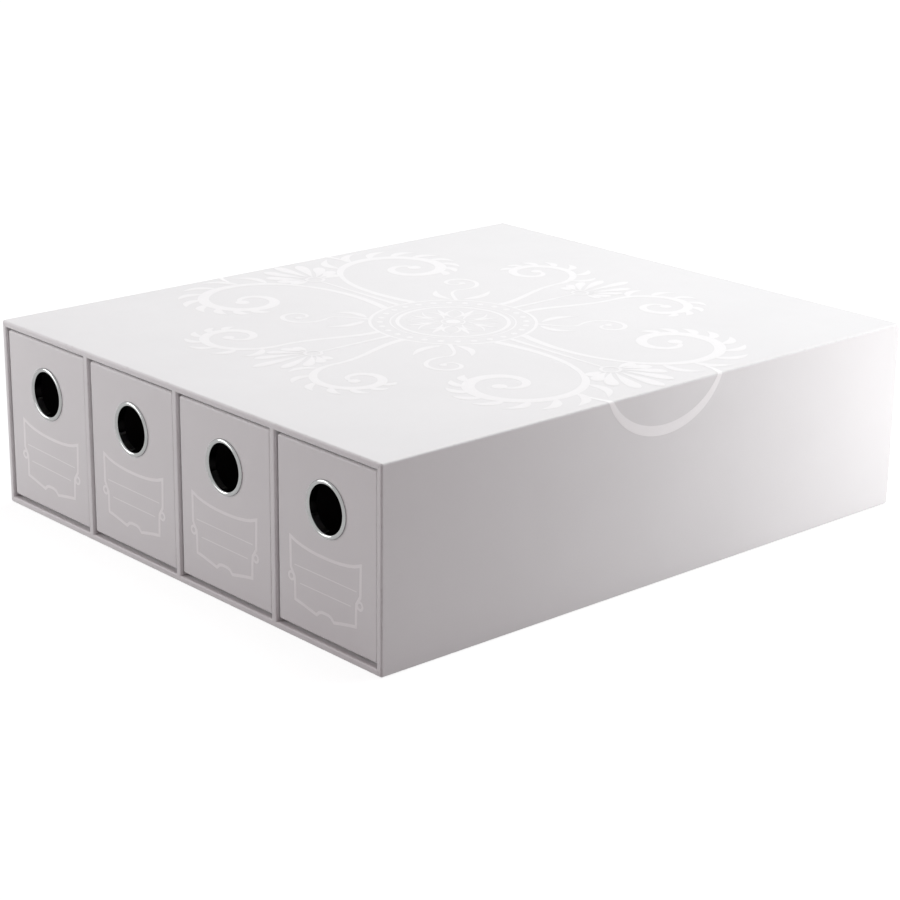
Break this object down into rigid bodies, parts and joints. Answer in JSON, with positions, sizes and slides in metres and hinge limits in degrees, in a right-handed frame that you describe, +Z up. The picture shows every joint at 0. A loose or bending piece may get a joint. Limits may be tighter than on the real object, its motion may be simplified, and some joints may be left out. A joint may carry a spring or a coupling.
{
  "type": "trading card drawer box",
  "caption": "Wrapped greyboard case with side-by-side bays; long card drawers slide out of the front by metal finger rings.",
  "frame": {"origin": "centre of the case's footprint, on the surface that it stands on", "axes": "+X to the right as seen from the front, -Y the front that the drawers pull out of, +Z up"},
  "size_m": [0.34, 0.397, 0.112],
  "materials": {
    "wrap_paper": "off-white laminated paper with a faint sheen",
    "black_paper": "matt black lining paper",
    "greyboard": "raw grey millboard",
    "ring_metal": "polished chrome plate"
  },
  "bodies": {
    "case": {"case_top_board": "greyboard", "case_bottom_board": "greyboard", "case_left_board": "greyboard", "case_right_board": "greyboard", "case_back_board": "greyboard", "case_wrap": "wrap_paper", "case_lining": "wrap_paper", "case_base_sheet": "wrap_paper", "divider_1_board": "greyboard", "divider_1_wrap": "wrap_paper", "divider_2_board": "greyboard", "divider_2_wrap": "wrap_paper", "divider_3_board": "greyboard", "divider_3_wrap": "wrap_paper", "bay_1_card": "greyboard", "bay_2_card": "greyboard", "bay_3_card": "greyboard", "bay_4_card": "greyboard"},
    "drawer_1": {"drawer_1_front_board": "greyboard", "drawer_1_back_board": "greyboard", "drawer_1_left_board": "greyboard", "drawer_1_right_board": "greyboard", "drawer_1_floor_board": "greyboard", "drawer_1_wrap": "wrap_paper", "drawer_1_lining": "black_paper", "drawer_1_ring_front": "ring_metal", "drawer_1_ring_back": "ring_metal"},
    "drawer_2": {"drawer_2_front_board": "greyboard", "drawer_2_back_board": "greyboard", "drawer_2_left_board": "greyboard", "drawer_2_right_board": "greyboard", "drawer_2_floor_board": "greyboard", "drawer_2_wrap": "wrap_paper", "drawer_2_lining": "black_paper", "drawer_2_ring_front": "ring_metal", "drawer_2_ring_back": "ring_metal"},
    "drawer_3": {"drawer_3_front_board": "greyboard", "drawer_3_back_board": "greyboard", "drawer_3_left_board": "greyboard", "drawer_3_right_board": "greyboard", "drawer_3_floor_board": "greyboard", "drawer_3_wrap": "wrap_paper", "drawer_3_lining": "black_paper", "drawer_3_ring_front": "ring_metal", "drawer_3_ring_back": "ring_metal"},
    "drawer_4": {"drawer_4_front_board": "greyboard", "drawer_4_back_board": "greyboard", "drawer_4_left_board": "greyboard", "drawer_4_right_board": "greyboard", "drawer_4_floor_board": "greyboard", "drawer_4_wrap": "wrap_paper", "drawer_4_lining": "black_paper", "drawer_4_ring_front": "ring_metal", "drawer_4_ring_back": "ring_metal"}
  },
  "joints": [
    {"name": "drawer_1_slide", "type": "slide", "parent": "case", "child": "drawer_1", "axis": [0, -1, 0], "range_m": [0, 0.345]},
    {"name": "drawer_2_slide", "type": "slide", "parent": "case", "child": "drawer_2", "axis": [0, -1, 0], "range_m": [0, 0.345]},
    {"name": "drawer_3_slide", "type": "slide", "parent": "case", "child": "drawer_3", "axis": [0, -1, 0], "range_m": [0, 0.345]},
    {"name": "drawer_4_slide", "type": "slide", "parent": "case", "child": "drawer_4", "axis": [0, -1, 0], "range_m": [0, 0.345]}
  ]
}
